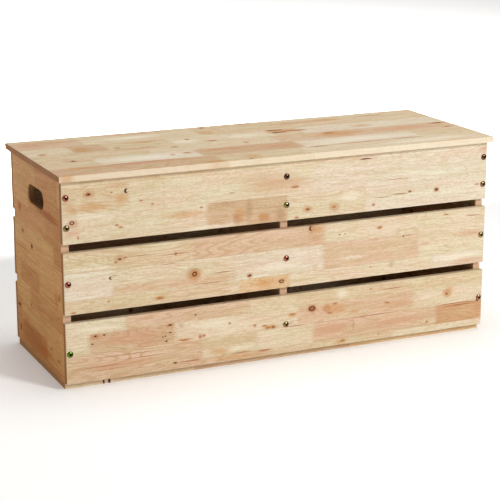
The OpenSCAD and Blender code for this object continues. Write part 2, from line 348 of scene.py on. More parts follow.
def woodMaterial(name, box, along, across, layout, end="#A67242", shade="#FFFFFF", rim=None,
                 reverse=False):
    # box is the board's; staves are laid out from its low end, or from its high end if reverse. End is
    # the end grain's colour, shade multiplies the faces (a tint, and on the left end panel painted shade
    # too), and rim is a paler colour of the long edges
    w = woodSet
    material = newMaterial(name)
    tree = material.node_tree
    lo, hi = [np.array(corner) / mm for corner in box]
    i, j = axisOf[along], axisOf[across]
    k = 3 - i - j

    # board coordinates in mm: along the grain, across it, and through the thickness
    place = add(tree, "ShaderNodeTexCoord", {})
    apart = add(tree, "ShaderNodeSeparateXYZ", {0: place.outputs["Object"]})
    order = add(tree, "ShaderNodeCombineXYZ", {
        0: apart.outputs[i], 1: apart.outputs[j], 2: apart.outputs[k]})
    sense = -1.0 if reverse else 1.0
    start = hi[i] if reverse else -lo[i]
    board = add(tree, "ShaderNodeVectorMath", {
        0: order.outputs[0], 1: (sense / mm, 1 / mm, 1 / mm), 2: (start, -lo[j], -lo[k])},
        operation="MULTIPLY_ADD").outputs[0]
    part = add(tree, "ShaderNodeSeparateXYZ", {0: board})
    a, b = part.outputs[0], part.outputs[1]
    stave, tint, figure, glue = layStaves(tree, a, b, layout, hi[i] - lo[i] + rowGap)
    grain, fields = grainNoise(tree, board, a, stave)

    wobble = add(tree, "ShaderNodeTexNoise", {"Vector": board, "Scale": w["wobble"], "Detail": 2.0})
    sway = add(tree, "ShaderNodeVectorMath", {0: wobble.outputs["Color"], 1: (0.5, 0.5, 0.5)},
               operation="SUBTRACT").outputs[0]
    reached = {kind: nearestMark(tree, board, sway, markKinds[kind], layout[kind])
               for kind in markKinds if layout.get(kind)}

    # how deep the grain's colour is: bands, streaks, flecks, pores and growth lines together
    low, high = w["poreLevels"]
    pores = add(tree, "ShaderNodeMapRange", {"Value": fields["pore"], "From Min": low, "From Max": high})
    lined = growthLines(tree, fields["ring"], figure, reached)
    depth = 0.0
    for source, low, high, gain in (
            (fields["band"], 0.3, 0.7, w["bandGain"]), (fields["streak"], 0.3, 0.7, w["streakGain"]),
            (fields["fleck"], 0.3, 0.7, w["fleckGain"]), (pores.outputs[0], 0.0, 1.0, w["poreGain"]),
            (lined, 0.0, 1.0, w["ringGain"])):
        level = add(tree, "ShaderNodeMapRange", {
            "Value": source, "From Min": low, "From Max": high, "To Min": 0.0, "To Max": gain})
        depth = add(tree, "ShaderNodeMath", {0: level.outputs[0], 1: depth}, operation="ADD").outputs[0]
    hue = add(tree, "ShaderNodeMapRange", {"Value": fields["hue"], "From Min": 0.35, "From Max": 0.65})
    colour = mixed(tree, 1.0, tint, mixed(tree, depth, w["shallow"], w["deep"]), "MULTIPLY")
    colour = mixed(tree, 1.0, colour, mixed(tree, hue.outputs[0], w["cool"], w["warm"]), "MULTIPLY")

    facing = add(tree, "ShaderNodeSeparateXYZ", {0: place.outputs["Normal"]})
    if rim:
        colour = mixed(tree, facingAlong(tree, facing, j, w["rimStrength"]), colour, linear(rim))
    for kind, nearest in reached.items():
        m = markKinds[kind]
        cover = add(tree, "ShaderNodeMapRange", {
            "Value": nearest, "From Min": m["reach"][0], "From Max": m["reach"][1], "To Min": 0.0,
            "To Max": m["strength"]}, interpolation_type="SMOOTHSTEP")
        colour = mixed(tree, cover.outputs[0], colour, linear(m["colour"]))
    thin = add(tree, "ShaderNodeMath", {0: glue, 1: w["glueStrength"]}, operation="MULTIPLY")
    colour = mixed(tree, thin.outputs[0], colour, linear(w["glueColour"]))
    colour = mixed(tree, 1.0, colour, linear(shade), "MULTIPLY")

    # end grain drinks the varnish and turns darker, with dots where the vessels are cut across
    dots = add(tree, "ShaderNodeTexNoise", {"Vector": grain, "Scale": w["endDots"], "Detail": 2.0})
    dim = add(tree, "ShaderNodeMapRange", {
        "Value": dots.outputs[0], "From Min": 0.3, "From Max": 0.7, "To Min": w["endLight"],
        "To Max": w["endDark"]})
    endColour = add(tree, "ShaderNodeVectorMath", {0: linear(end)[:3], "Scale": dim.outputs[0]},
                    operation="SCALE")
    colour = mixed(tree, facingAlong(tree, facing, i), colour, endColour.outputs[0])

    rough = add(tree, "ShaderNodeMapRange", {
        "Value": fields["streak"], "From Min": 0.3, "From Max": 0.7,
        "To Min": w["roughness"] - w["smoother"], "To Max": w["roughness"] + w["rougher"]})
    sunk = add(tree, "ShaderNodeMath", {0: depth, 1: glue}, operation="ADD")
    relief = add(tree, "ShaderNodeBump", {
        "Height": sunk.outputs[0], "Strength": 0.6, "Distance": w["relief"]}, invert=True)
    varnish = add(tree, "ShaderNodeBsdfPrincipled", {
        "Base Color": colour, "Roughness": rough.outputs[0], "IOR": 1.5,
        "Specular IOR Level": w["specular"], "Normal": relief.outputs[0]})
    add(tree, "ShaderNodeOutputMaterial", {"Surface": varnish.outputs[0]})
    return material


# Hole walls cut by a router, left unsanded and unvarnished: their dark browns are painted shade inside the
# holes
holeShadeSet = dict(light="#A87848", dark="#6A4424", roughness=0.75, relief=0.2 * mm,
                 chatterScale=(90.0, 900.0, 900.0))


# the dark browns are painted shade; the chatter bumps and roughness are the cut wall's own
def holeShadeWood(s):
    material = newMaterial("routedRubberwoodPaintedShade")
    tree = material.node_tree
    place = add(tree, "ShaderNodeTexCoord", {})
    stretch = add(tree, "ShaderNodeVectorMath", {0: place.outputs["Object"], 1: s["chatterScale"]},
                  operation="MULTIPLY")
    chatter = add(tree, "ShaderNodeTexNoise", {"Vector": stretch.outputs[0], "Scale": 1.0, "Detail": 3.0})
    tone = mixed(tree, chatter.outputs[0], linear(s["light"]), linear(s["dark"]))
    marks = add(tree, "ShaderNodeBump", {
        "Height": chatter.outputs[0], "Strength": 0.5, "Distance": s["relief"]})
    wall = add(tree, "ShaderNodeBsdfPrincipled", {
        "Base Color": tone, "Roughness": s["roughness"], "IOR": 1.5, "Normal": marks.outputs[0]})
    add(tree, "ShaderNodeOutputMaterial", {"Surface": wall.outputs[0]})
    return material


holeShadeWall = holeShadeWood(holeShadeSet)

# Marks of a board laid up at random, for each kind: one mark in so many, how many more, least and most
# radius in mm, and how many times longer than wide
drawnMarks = dict(
    specks=(1, 0, 1.6, 3.2, 1.5), streaks=(3, 1, 0.8, 1.6, 18), stains=(2, 1, 5.0, 11.0, 1.8),
    knots=(2, 1, 2.2, 4.0, 1.3), eyes=(4, 1, 2.6, 4.2, 1.2), blushes=(2, 1, 6.0, 12.0, 5.0))
drawnTints = ["pale", "cream", "cream", "sand", "sand", "tan", "rose", "orange"]


def drawnLayout(length, width, rowWidth, seed, marks):
    # a layout for a board that is laid up at random: rows of staves, then marks of each kind
    rng = np.random.default_rng(seed)
    first = rng.uniform(0.3, 1.0) * rowWidth
    rows = [0.0] + [float(e) for e in np.arange(first, width - 6, rowWidth)]
    staves = []
    for _ in rows:
        starts = np.cumsum(rng.uniform(130, 380, 12)) - rng.uniform(150, 330)
        starts = [0.0] + [float(s) for s in starts if 30 < s < length - 20][:4]
        staves.append([(s, drawnTints[rng.integers(len(drawnTints))]) for s in starts])

    def scatter(count, low, high, stretch):
        x, y = rng.uniform(10, length - 10, count), rng.uniform(6, width - 6, count)
        ry = rng.uniform(low, high, count)
        return [tuple(map(float, s)) for s in zip(x, y, ry * stretch, ry)]

    layout = dict(rows=rows, staves=staves)
    for kind, (share, more, low, high, stretch) in drawnMarks.items():
        layout[kind] = scatter(marks // share + more, low, high, stretch)
    layout["halos"] = layout["knots"]
    layout["hearts"] = [(x, y, 0.5 * rx, 0.5 * ry) for x, y, rx, ry in layout["knots"][::3]]
    return layout


# Ease is the radius of a board's edges, and hold the flat strip beside each rounding, which keeps its
# shading from spreading over the face
boardSet = dict(ease=1.2 * mm, hold=0.6 * mm, arcSteps=3)
weld = 0.000001  # points nearer than this are one point


def outline(halfP, halfQ, ease, steps, hold):
    # rectangle walked anticlockwise: each corner turns on a quarter circle of radius ease, and a point at
    # the distance hold before and after it keeps the straight side straight
    turn = np.repeat(np.arange(4), steps + 3)
    part = np.tile(np.r_[0, np.linspace(0, 1, steps + 1), 1], 4)
    angle = (turn + part) * math.pi / 2
    middle = (turn + 0.5) * math.pi / 2
    centre = np.sign(np.stack([np.cos(middle), np.sin(middle)], 1)) * [halfP - ease, halfQ - ease]
    slide = np.tile(np.r_[-hold, np.zeros(steps + 1), hold], 4)
    centre = centre + slide[:, None] * np.stack([-np.sin(angle), np.cos(angle)], 1)
    reach = np.stack([np.cos(angle), np.sin(angle)], 1)

    def loop(inset):
        limit = np.array([halfP - inset, halfQ - inset])
        return np.clip(centre + reach * max(ease - inset, 0.0), -limit, limit)
    return loop


def oblong(centre, length, height, count):
    # slot with round ends, or a circle if length equals height: inset grows it into the wood
    angle = np.arange(count) / count * 2 * math.pi
    reach = np.stack([np.cos(angle), np.sin(angle)], 1)
    side = np.where(np.abs(reach[:, 0]) < 1e-9, 0.0, np.sign(reach[:, 0]))
    middle = np.stack([side * (length - height) / 2, 0 * side], 1) + centre
    radius = height / 2

    def loop(inset):
        return middle + reach * max(radius + inset, 0.0)
    return loop


def edgeRoll(ease, steps, hold):
    # rounded edge as pairs of inset and depth, from the flat face round into the wall: inset is ease less
    # ease times the sine of the turn, and depth is ease less ease times its cosine
    turns = np.linspace(0, math.pi / 2, steps + 1)
    arc = [(ease * (1 - math.sin(t)), ease * (1 - math.cos(t))) for t in turns]
    return [(ease + hold, 0.0)] + arc + [(0.0, ease + hold)]


def strip(loop, profile, box, axes, side):
    # grid of points: one row for each pair of inset and depth of the profile, each the loop drawn in by
    # the inset and put below the face by the depth
    lo, hi = (np.array(corner) for corner in box)
    p, q, n = axes
    middle = (lo + hi) / 2
    face = hi[n] if side > 0 else lo[n]
    rows = []
    for inset, depth in profile:
        flat = loop(inset)
        points = np.zeros((len(flat), 3))
        points[:, p] = middle[p] + flat[:, 0]
        points[:, q] = middle[q] + flat[:, 1]
        points[:, n] = face - side * depth
        rows.append(points)
    return np.array(rows)


def stripFaces(grid, first):
    # quads between neighbouring rows of a strip whose columns close on themselves
    rows, cols = grid.shape[:2]
    r = np.arange(rows - 1)[:, None] * cols + first
    c = np.arange(cols)
    d = (c + 1) % cols
    return np.stack([r + c, r + d, r + cols + d, r + cols + c], -1).reshape(-1, 4)


def solidMesh(name, points, faces, slots, values=None, axis=0, flats=()):
    # joins strips into one closed mesh: places along the axis in flats are flat faces, whose rims are
    # filled, and every face is turned outwards
    mesh = bpy.data.meshes.new(name)
    mesh.from_pydata(np.concatenate(points).tolist(), [], np.concatenate(faces).tolist())
    mesh.polygons.foreach_set("material_index", np.concatenate(slots))
    for key, column in (values or {}).items():
        mesh.attributes.new(key, "FLOAT", "POINT").data.foreach_set("value", column)
    bm = bmesh.new()
    bm.from_mesh(mesh)
    bmesh.ops.remove_doubles(bm, verts=bm.verts, dist=weld)
    for flat in flats:
        rims = [e for e in bm.edges
                if e.is_boundary and all(abs(v.co[axis] - flat) < weld for v in e.verts)]
        filled = bmesh.ops.triangle_fill(bm, edges=rims, use_beauty=True)["geom"]
        for part in filled:
            if isinstance(part, bmesh.types.BMFace):
                part.material_index = 0
    bmesh.ops.recalc_face_normals(bm, faces=bm.faces)
    opened = sum(1 for e in bm.edges if not e.is_manifold)
    if opened:
        raise RuntimeError(f"{name} has {opened} open edges")
    bm.to_mesh(mesh)
    bm.free()
    mesh.polygons.foreach_set("use_smooth", np.ones(len(mesh.polygons), bool))
    return mesh


def boardMesh(name, box, normal, holes):
    # a board as strips round its outline and its holes, with each flat face filled between them; the
    # walls of the holes are the second material
    s = boardSet
    n = axisOf[normal]
    p, q = [k for k in range(3) if k != n]
    lo, hi = box
    thick = hi[n] - lo[n]
    roll = edgeRoll(s["ease"], s["arcSteps"], s["hold"])
    across = roll + [(inset, thick - depth) for inset, depth in reversed(roll)]
    rim = outline((hi[p] - lo[p]) / 2, (hi[q] - lo[q]) / 2, s["ease"], s["arcSteps"], s["hold"])
    grid = strip(rim, across, box, (p, q, n), 1)
    points, faces = [grid.reshape(-1, 3)], [stripFaces(grid, 0)]
    first = grid.shape[0] * grid.shape[1]
    slots = [np.zeros(len(faces[0]), int)]
    for hole in holes:
        centre = np.array([hole["at"][0] - (lo[p] + hi[p]) / 2, hole["at"][1] - (lo[q] + hi[q]) / 2])
        loop = oblong(centre, hole["length"], hole["height"], hole["count"])
        roll = edgeRoll(hole["ease"], s["arcSteps"], s["hold"])
        wallEnd = None
        if "profile" in hole:
            profile = roll[:-2] + hole["profile"] + [(-hole["height"] / 2, hole["profile"][-1][1])]
        else:
            profile = roll + [(inset, thick - depth) for inset, depth in reversed(roll)]
            wallEnd = -s["arcSteps"]
        grid = strip(loop, profile, box, (p, q, n), hole.get("side", 1))
        points.append(grid.reshape(-1, 3))
        faces.append(stripFaces(grid, first))
        walls = np.zeros(grid.shape[0] - 1, int)
        walls[s["arcSteps"]:wallEnd] = 1
        slots.append(np.repeat(walls, grid.shape[1]))
        first += grid.shape[0] * grid.shape[1]
    return solidMesh(name, points, faces, slots, axis=n, flats=(lo[n], hi[n]))


def addPiece(mesh, node, body):
    # an object at the origin that rides on the body and stands for the CAD node
    piece = bpy.data.objects.new(mesh.name, mesh)
    scene.collection.objects.link(piece)
    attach(piece, body)
    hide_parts(node)


def makeBoard(name, node, normal, along, across, layout, body="box", slot="slat_wood", holes=(), **look):
    # normal is the axis through the board's thickness; look goes on to its wood
    box = [tuple(corner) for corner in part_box(node)]
    mesh = boardMesh(name, box, normal, holes)
    mesh.materials.append(woodMaterial(name + "Rubberwood", box, along, across, layout, **look))
    mesh.materials.append(holeShadeWall)
    addPiece(mesh, node, body)


# Layouts in mm. Rows are each row's lower edge, staves are (start, tint) or (start, tint, figure), and
# marks are (along, up, radius along, radius up). Front boards run from their left end
frontTop = dict(
    rows=[0, 50, 106],
    staves=[[(0, "cream", 0.2), (285, "tan", 0.35), (452, "cream", 0.35), (622, "pale", 0.15)],
            [(0, "sand", 0.5), (128, "cream", 0.15), (507, "pale", 0.2)],
            [(0, "cream"), (38, "sand"), (300, "cream"), (605, "pale")]],
    pales=[(60, 50, 60, 6), (590, 36, 26, 9), (300, 4, 70, 5)],
    blushes=[(14, 71, 13, 9), (892, 104, 11, 7), (105, 101, 24, 5), (430, 75, 70, 20), (20, 20, 16, 9)],
    stains=[(22, 62, 10, 6), (115, 76, 14, 12), (402, 12, 13, 8), (350, 22, 14, 18), (60, 66, 34, 9),
            (240, 34, 50, 8)],
    shades=[(371, 30, 9, 24), (437, 14, 12, 16), (320, 46, 30, 4), (345, 14, 10, 12)],
    streaks=[(700, 29, 24, 1.5), (660, 26, 20, 1.2), (336, 66, 7, 1.2), (690, 60, 34, 0.8),
             (620, 106.5, 16, 2)],
    specks=[(105, 27, 4, 2.4), (112, 23, 5, 2.2), (468, 65, 10, 3), (553, 17, 5, 3), (153, 69, 4, 2),
            (175, 60, 3, 2), (273, 44, 4, 2), (640, 13, 4, 3), (472, 4, 5, 3), (878, 32, 6, 2),
            (30, 11, 2, 4), (96, 90, 3, 1.5)],
    halos=[(52, 90, 8, 5), (21, 39, 7, 6), (403, 12, 8, 5.5), (495, 18, 7, 4.5), (553, 17, 8, 6),
           (783, 30, 5, 4)],
    knots=[(51, 90, 5.5, 3.4), (722, 32, 4, 2.4), (495, 18, 5, 2.6), (783, 30, 5, 4)],
    eyes=[(19, 40, 4, 3.2)],
    hooks=[(125, 90, 5, 4.6)],
    hearts=[(53, 90, 2.6, 1.5), (783, 30, 2.2, 1.8), (621, 106.5, 14, 1.2)])

frontMiddle = dict(
    rows=[0, 27, 78],
    staves=[[(0, "sand", 0.3), (245, "sand", 1.0), (352, "orange", 0.6), (457, "cream", 0.3),
             (780, "pale", 0.1)],
            [(0, "pale", 0.1), (95, "cream", 0.5), (340, "pale", 0.3), (532, "rose", 0.15),
             (745, "cream", 0.3)],
            [(0, "sand", 0.55), (257, "rose", 1.0), (533, "cream", 0.25)]],
    pales=[(840, 20, 60, 8), (590, 45, 40, 3), (430, 45, 60, 8), (60, 84, 50, 4)],
    blushes=[(866, 66, 38, 8), (760, 54, 15, 5), (150, 37, 66, 10), (240, 36, 60, 9), (300, 36, 50, 9),
             (515, 92, 18, 12), (870, 8, 50, 8)],
    stains=[(405, 15, 22, 12), (258, 48, 17, 13), (515, 110, 13, 8), (187, 12, 14, 6)],
    shades=[(683, 20, 6, 9), (255, 52, 16, 12)],
    streaks=[(870, 102, 20, 1.2), (205, 76, 18, 1.0), (150, 99, 26, 1.0), (222, 94, 40, 1.3),
             (98, 66, 6, 1.0), (722, 76, 12, 0.9), (318, 47, 24, 1.6), (290, 29, 40, 1.0)],
    specks=[(85, 18, 3, 2), (187, 12, 8, 3), (220, 94, 3, 4), (566, 94, 3, 1.6), (578, 94, 2.4, 1.6),
            (808, 110, 7, 2), (655, 99, 7, 4), (636, 20, 3, 2), (17, 4, 6, 2), (101, 91, 4, 2.4),
            (120, 98, 5, 2)],
    halos=[(109, 97, 7, 5), (258, 50, 8, 7.5), (372, 34, 5, 4), (440, 14, 6, 4), (504, 112, 6, 6)],
    knots=[(372, 33, 5, 3.2), (109, 96, 4, 2.2)],
    eyes=[(258, 50, 4.4, 4.2), (440, 14, 4.6, 3)],
    hooks=[(91, 62, 4, 3.4), (503, 113, 4.4, 4.8)],
    hearts=[(110, 96, 3, 1.5), (373, 34, 2.2, 2.4), (710, 75, 2.8, 1.8)])

frontBottom = dict(
    rows=[0, 14, 53, 92],
    staves=[[(0, "rose", 0.8), (420, "sand", 0.2), (690, "cream", 0.2)],
            [(0, "rose", 1.2), (272, "sand", 0.3), (390, "cream", 0.2), (511, "rose", 0.5),
             (792, "russet", 0.4)],
            [(0, "cream", 0.2), (46, "tan", 0.5), (216, "cream", 0.15), (476, "rose", 0.4),
             (735, "cream", 0.2)],
            [(0, "cream", 0.2), (118, "rose", 0.5), (372, "sand", 0.2)]],
    pales=[(300, 80, 60, 8), (573, 107, 15, 11), (350, 24, 40, 6), (60, 102, 50, 6)],
    blushes=[(130, 76, 80, 14), (170, 62, 40, 8), (60, 84, 18, 8), (550, 36, 44, 14), (890, 35, 12, 16),
             (100, 26, 90, 9), (700, 70, 40, 8), (700, 34, 80, 8)],
    stains=[(560, 77, 26, 13), (540, 84, 14, 8), (465, 77, 12, 5), (572, 6, 16, 7), (350, 7, 60, 4),
            (310, 22, 24, 8), (235, 56, 20, 3), (412, 59, 15, 5), (272, 59, 10, 5), (820, 82, 14, 10),
            (600, 66, 14, 5)],
    shades=[(455, 60, 14, 3), (230, 86, 8, 5), (600, 40, 3, 12)],
    streaks=[(248, 12.6, 28, 1.5), (352, 14.8, 26, 1.2), (404, 12, 16, 2), (690, 103.5, 34, 1.2),
             (845, 49, 48, 1.7), (640, 53, 60, 1.3), (120, 44, 70, 0.9), (60, 27, 50, 0.9),
             (90, 20, 60, 0.8), (150, 35, 60, 0.8), (470, 53, 30, 1.2), (840, 53.5, 60, 1.4)],
    specks=[(330, 77, 3, 2.6), (383, 65, 4, 3), (638, 108, 4, 1.8), (658, 11, 2.6, 1.8),
            (676, 75, 6, 2), (268, 58, 3.2, 3.8), (276, 60, 4, 3), (770, 22, 4, 3), (404, 62, 6, 2.4),
            (412, 57, 7, 3), (236, 56, 13, 1.8), (464, 78, 8, 2.2), (576, 8, 7, 2.6), (558, 88, 6, 2),
            (546, 70, 7, 2.4)],
    halos=[(58, 87, 6, 4), (507, 84, 8, 5.5), (815, 77, 7, 6), (423, 57, 5, 3.4), (207, 89, 6, 3),
           (540, 80, 6, 5)],
    knots=[(815, 76, 3.4, 2.8), (423, 57, 4, 2.6), (216, 13, 5, 1.7), (507, 84, 3.2, 2)],
    eyes=[(507, 84, 6.6, 4.8)],
    hearts=[(58, 88, 3.8, 2.0), (75, 88, 2.6, 1.8), (52, 73, 2.2, 1.7), (207, 90, 5, 1.8),
            (207, 75, 2.6, 1.8), (192, 68, 2.2, 1.6), (197, 69, 2.2, 1.7), (199, 59, 3.2, 2.0),
            (259, 103, 2.6, 1.7), (889, 53, 3.2, 2.6), (217, 13, 3, 1.3)])

boltHole = dict(length=6.8 * mm, height=6.8 * mm, count=24, ease=0.3 * mm)
boltColumns = (-442 * mm, 0.0, 442 * mm)
boltRise = {"bottom": (59 * mm,), "middle": (59 * mm,), "top": (31 * mm, 87 * mm)}


def slatHoles(node, level):
    # a clearance hole for each bolt
    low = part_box(node)[0][2]
    return [dict(boltHole, at=(x, low + z)) for x in boltColumns for z in boltRise[level]]


for level, layout in (("bottom", frontBottom), ("middle", frontMiddle), ("top", frontTop)):
    makeBoard(f"front{level.title()}Slat", f"front_{level}_slat", "Y", "X", "Z", layout,
              holes=slatHoles(f"front_{level}_slat", level))
for seed, level in enumerate(("bottom", "middle", "top")):
    layout = drawnLayout(900, 118, 46, 20 + seed, 9)
    makeBoard(f"back{level.title()}Slat", f"back_{level}_slat", "Y", "X", "Z", layout,
              holes=slatHoles(f"back_{level}_slat", level), reverse=True)
print("slats made")

# Left end panel: along runs from its back edge to its front edge, up from its lower edge
leftPanel = dict(
    rows=[0, 13, 53, 93, 133, 173, 213, 253, 293, 333],
    staves=[[(0, "tan")],
            [(0, "tan"), (32, "russet"), (193, "sand")],
            [(0, "tan"), (33, "sand")],
            [(0, "cream"), (93, "tan")],
            [(0, "sand"), (33, "tan"), (153, "sand")],
            [(0, "sand"), (80, "cream")],
            [(0, "cream"), (250, "tan")],
            [(0, "rose"), (203, "tan")],
            [(0, "sand"), (98, "tan")],
            [(0, "sand"), (148, "tan"), (283, "cream")]],
    knots=[(113, 219, 6, 4), (13, 76, 8, 3), (219, 44, 4, 2.6), (55, 238, 6, 3), (18, 30, 6, 8)],
    hearts=[(113, 219, 6, 4), (13, 76, 8, 3)],
    halos=[(113, 219, 6, 5), (55, 238, 8, 4), (13, 76, 9, 4)],
    specks=[(263, 32, 10, 3), (182, 302, 6, 3), (40, 282, 8, 8), (95, 97, 6, 3), (278, 160, 5, 8)],
    streaks=[(225, 308, 60, 2.2), (245, 300, 55, 2.0), (215, 304, 60, 1.6), (120, 170, 20, 1.2),
             (230, 143, 60, 1.0), (70, 45, 40, 1.2), (60, 203, 60, 1.0), (120, 190, 60, 1.0),
             (180, 84, 40, 1.0)],
    stains=[(40, 283, 22, 12), (190, 26, 60, 12), (260, 150, 14, 20), (60, 60, 26, 8),
            (225, 304, 80, 9)],
    # the last shade, a strip along the panel's top edge, is painted shade under the lid's overhang
    shades=[(115, 32, 95, 24), (215, 304, 80, 10), (142, 386, 160, 9)])

gripSet = dict(length=98 * mm, height=35 * mm, rise=337 * mm, ease=2.6 * mm, count=72)
nutSet = dict(width=10.2 * mm, depth=14.1 * mm, inFromFace=28 * mm, ease=0.3 * mm, lip=0.4 * mm, count=32)
nutHeights = [z * mm for z in (71, 205, 311, 367)]


def panelHoles(node, side, grip):
    # hand hole right through, and blind holes for the barrel nuts from the side given
    lo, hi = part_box(node)
    holes = []
    if grip:
        holes.append(dict(gripSet, at=(0.0, gripSet["rise"])))
    s = nutSet
    for y in (lo[1] + s["inFromFace"], hi[1] - s["inFromFace"]):
        for z in nutHeights:
            holes.append(dict(at=(y, z), length=s["width"], height=s["width"], count=s["count"],
                              ease=s["ease"], side=side, profile=[(0.0, s["lip"]), (0.0, s["depth"])]))
    return holes


# The panels' faces are a little yellower than the slats. The left panel's shade colour is painted shade
# as well: it darkens and warms that whole face as if it stood out of the light
panelLook = dict(slot="panel_wood", end="#D8B496")
makeBoard("leftEndPanel", "left_end_panel", "X", "Y", "Z", leftPanel, shade="#FCD3A2", reverse=True,
          holes=panelHoles("left_end_panel", 1, True), **panelLook)
makeBoard("rightEndPanel", "right_end_panel", "X", "Y", "Z", drawnLayout(296, 386, 40, 31, 10),
          shade="#F6E2C6", holes=panelHoles("right_end_panel", -1, True), **panelLook)
makeBoard("centrePartition", "centre_partition", "X", "Y", "Z", drawnLayout(296, 386, 44, 32, 8),
          holes=panelHoles("centre_partition", 1, False), **panelLook)
print("panels made")

# Countersunk holes for the screws, from beneath
baseScrewHole = dict(head=8.4 * mm, shank=4.4 * mm, sink=0.5 * mm, depth=11 * mm)
cleatScrewHole = dict(head=7.4 * mm, shank=3.9 * mm, sink=0.5 * mm, depth=14 * mm)
baseScrewRuns = (-0.1, 0.0, 0.1)
cleatScrewRuns = (-0.12, -0.04, 0.04, 0.12)


def sunkHole(x, y, s):
    # a short straight wall, a 45 degree cone, then the shank's hole
    cone = (s["head"] - s["shank"]) / 2
    return dict(at=(x, y), length=s["head"], height=s["head"], count=32, ease=0.2 * mm, side=-1,
                profile=[(0.0, s["sink"]), (-cone, s["sink"] + cone), (-cone, s["depth"])])


baseHoles = [sunkHole(x, y, baseScrewHole) for x in boltColumns for y in baseScrewRuns]
bottomLayout = drawnLayout(900, 296, 48, 41, 12)
bottomLayout["hearts"] = bottomLayout["hearts"] + [(76, 0, 2.2, 4), (87, 0, 3.2, 4)]
makeBoard("bottomBoard", "bottom_board", "Z", "X", "Y", bottomLayout, slot="bottom_wood", end="#B88454",
          holes=baseHoles)

# Lid: along runs from its left end, across from its front edge to its back edge
lidTop = dict(
    rows=[0, 62, 125, 187, 250, 318],
    staves=[[(0, "tan", 0.5), (325, "sand", 0.5), (505, "cream", 0.3), (780, "cream", 0.3)],
            [(0, "sand"), (105, "pale", 0.2), (310, "tan", 0.4), (522, "pale", 0.2), (785, "sand")],
            [(0, "sand", 0.5), (228, "cream", 0.4), (500, "rose"), (612, "rose", 0.5), (706, "rose")],
            [(0, "cream"), (95, "tan", 0.4), (165, "sand", 0.5), (300, "cream"), (522, "sand"),
             (585, "pale", 0.2)],
            [(0, "rose", 0.4), (137, "cream"), (385, "sand", 0.5), (600, "sand"), (760, "sand")],
            [(0, "sand"), (200, "rose"), (300, "sand"), (570, "cream")]],
    pales=[(200, 95, 90, 20), (650, 95, 110, 22), (330, 210, 30, 20), (460, 215, 50, 20),
           (780, 30, 100, 16), (250, 290, 60, 16)],
    blushes=[(200, 52, 130, 10), (370, 108, 70, 14), (480, 95, 50, 24), (60, 308, 80, 16),
             (30, 285, 40, 12), (560, 238, 40, 12), (800, 160, 80, 22), (230, 180, 70, 8),
             (620, 300, 80, 14)],
    stains=[(390, 22, 20, 22), (312, 8, 28, 10), (115, 215, 18, 24), (550, 225, 36, 16),
            (640, 158, 60, 24), (400, 278, 20, 18), (60, 56, 34, 10), (728, 216, 24, 15),
            (250, 238, 40, 10), (690, 306, 40, 12), (15, 0, 15, 8), (14, 0, 13, 6)],
    streaks=[(548, 57, 26, 5), (650, 61, 90, 3.6), (745, 62, 45, 4), (220, 186, 60, 2.4),
             (180, 62, 110, 3), (575, 226, 26, 5), (800, 312, 40, 4)],
    specks=[(380, 196, 14, 6), (435, 153, 6, 6), (290, 105, 9, 6), (258, 98, 6, 5), (184, 203, 7, 5),
            (340, 228, 6, 7), (886, 134, 13, 5), (628, 172, 14, 6), (290, 168, 9, 6), (320, 335, 12, 5),
            (510, 335, 16, 5), (590, 222, 14, 6), (32, 199, 8, 5)],
    halos=[(67, 120, 8, 6), (31, 199, 6, 6), (532, 242, 12, 6), (534, 220, 12, 6), (885, 177, 14, 5),
           (413, 328, 6, 6)],
    knots=[(545, 244, 16, 4), (545, 220, 14, 4.5), (885, 177, 14, 4), (413, 328, 5, 5)],
    hearts=[(67, 120, 5, 5), (532, 221, 8, 4.5), (530, 244, 9, 3.5), (888, 177, 9, 2.6),
            (378, 3, 6, 2.6)])
makeBoard("lidBoard", "lid_board", "Z", "X", "Y", lidTop, body="lid", slot="lid_wood", end="#A66E3E",
          rim="#EDE0C6")
for seed, side in enumerate(("left", "right")):
    node = f"{side}_lid_cleat"
    x = (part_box(node)[0][0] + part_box(node)[1][0]) / 2
    makeBoard(f"{side}LidCleat", node, "Z", "Y", "X", drawnLayout(290, 30, 60, 50 + seed, 2), body="lid",
              slot="cleat_wood", holes=[sunkHole(x, y, cleatScrewHole) for y in cleatScrewRuns])
print("bottom, lid and cleats made")

# Lengths in mm. The dome's radii are where its profile has points, and the last socketRows rows of the
# profile are the socket's
boltSet = dict(headRadius=6.0, headHeight=3.2, rim=0.8, domeRadii=(5.93, 5.75, 5.4, 4.8, 4.1, 3.4, 2.9),
               socket=4.0, socketDepth=2.2, socketRows=5, shank=2.95, length=50.0, tip=0.8, fillet=0.2,
               threadLength=18.0, pitch=1.0, threadDepth=0.35, columns=48, turn=0.7)
# Painted shade: every bolt head's right flank is darkened as if it turned away from the light
paintedDarkSideSet = dict(colour="#1E120C", start=0.6, width=4.5, strength=0.85)


